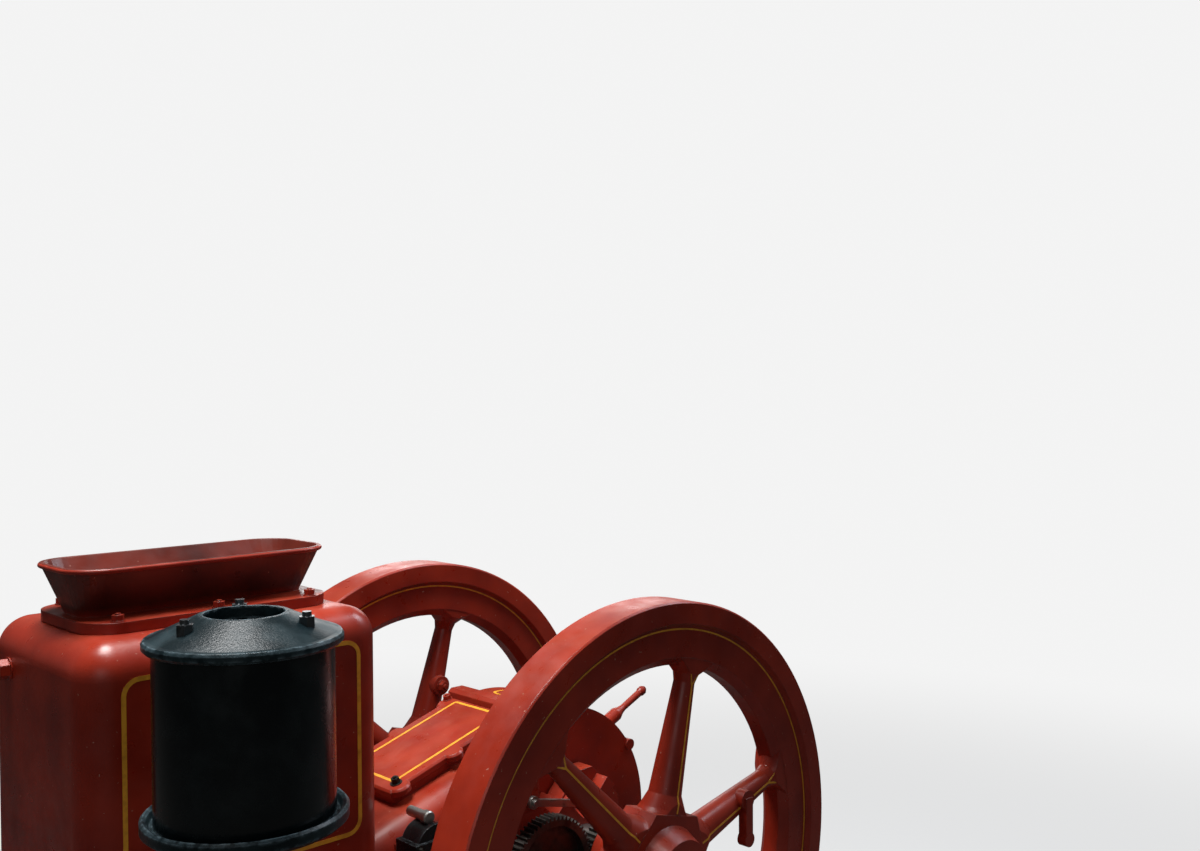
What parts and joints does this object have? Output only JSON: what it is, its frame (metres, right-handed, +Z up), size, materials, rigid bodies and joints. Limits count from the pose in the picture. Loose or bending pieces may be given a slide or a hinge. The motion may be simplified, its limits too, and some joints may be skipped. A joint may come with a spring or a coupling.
{
  "type": "hopper-cooled stationary engine",
  "caption": "Horizontal stationary oil engine with a water hopper, flared filler, exhaust pot and spoked flywheels, on timber runners.",
  "frame": {"origin": "on the floor under the middle of the timber base", "axes": "+X from the cylinder head end to the crank end, -Y the gear side, +Z up"},
  "size_m": [1.34, 0.784, 1.003],
  "materials": {
    "timber": "weathered sawn timber",
    "red_paint": "brushed enamel, slightly glossy",
    "cast_parts": "brushed enamel on rough casting",
    "pot_black": "heat resisting black paint",
    "magneto_black": "black enamel",
    "bare_steel": "machined, slightly dulled",
    "brass": "dull polished",
    "shaft_steel": "turned, oiled",
    "wheel_red": "brushed enamel, slightly glossy",
    "governor_red": "brushed enamel",
    "gear_steel": "cut teeth, oily"
  },
  "bodies": {
    "frame_body": {"skid_gear_side": "timber", "skid_plain_side": "timber", "cross_timber_head_end": "timber", "cross_timber_crank_end": "timber", "engine_bed": "red_paint", "bearing_cap_gear_side": "red_paint", "bearing_cap_plain_side": "red_paint", "water_hopper": "red_paint", "hopper_funnel": "red_paint", "crank_cover": "red_paint", "crank_hood": "red_paint", "hood_handle": "red_paint", "cylinder_head": "red_paint", "rocker_bracket": "red_paint", "push_rod_guide": "red_paint", "governor_bracket": "red_paint", "magneto_bracket": "red_paint", "exhaust_elbow": "cast_parts", "intake_valve_cage": "cast_parts", "pot_base": "pot_black", "pot_drum": "pot_black", "pot_lid": "pot_black", "magneto": "magneto_black", "rocker_arm": "bare_steel", "exhaust_valve": "bare_steel", "push_rod": "bare_steel", "governor_lever": "bare_steel", "cam_gear_stud": "bare_steel", "pot_studs": "bare_steel", "fuel_mixer": "brass", "fuel_pipe": "brass", "fuel_filler_cap": "brass", "cylinder_oiler": "brass", "drain_cock": "brass"},
    "crank_body": {"crankshaft": "shaft_steel", "crank_pinion": "shaft_steel", "flywheel_key_gear_side": "shaft_steel", "flywheel_key_plain_side": "shaft_steel", "flywheel_gear_side": "wheel_red", "flywheel_plain_side": "wheel_red", "governor_weight_upper": "governor_red", "governor_weight_lower": "governor_red"},
    "cam_body": {"cam_gear": "gear_steel"}
  },
  "joints": [
    {"name": "crank_turn", "type": "hinge", "parent": "frame_body", "child": "crank_body", "pos_m": [0.255, 0, 0.525], "axis": [0, 1, 0], "continuous": true},
    {"name": "cam_turn", "type": "hinge", "parent": "frame_body", "child": "cam_body", "pos_m": [0.1425, 0, 0.525], "axis": [0, 1, 0], "continuous": true}
  ],
  "couplings": [
    {"joint": "cam_turn", "follows": "crank_turn", "ratio": -0.5}
  ]
}
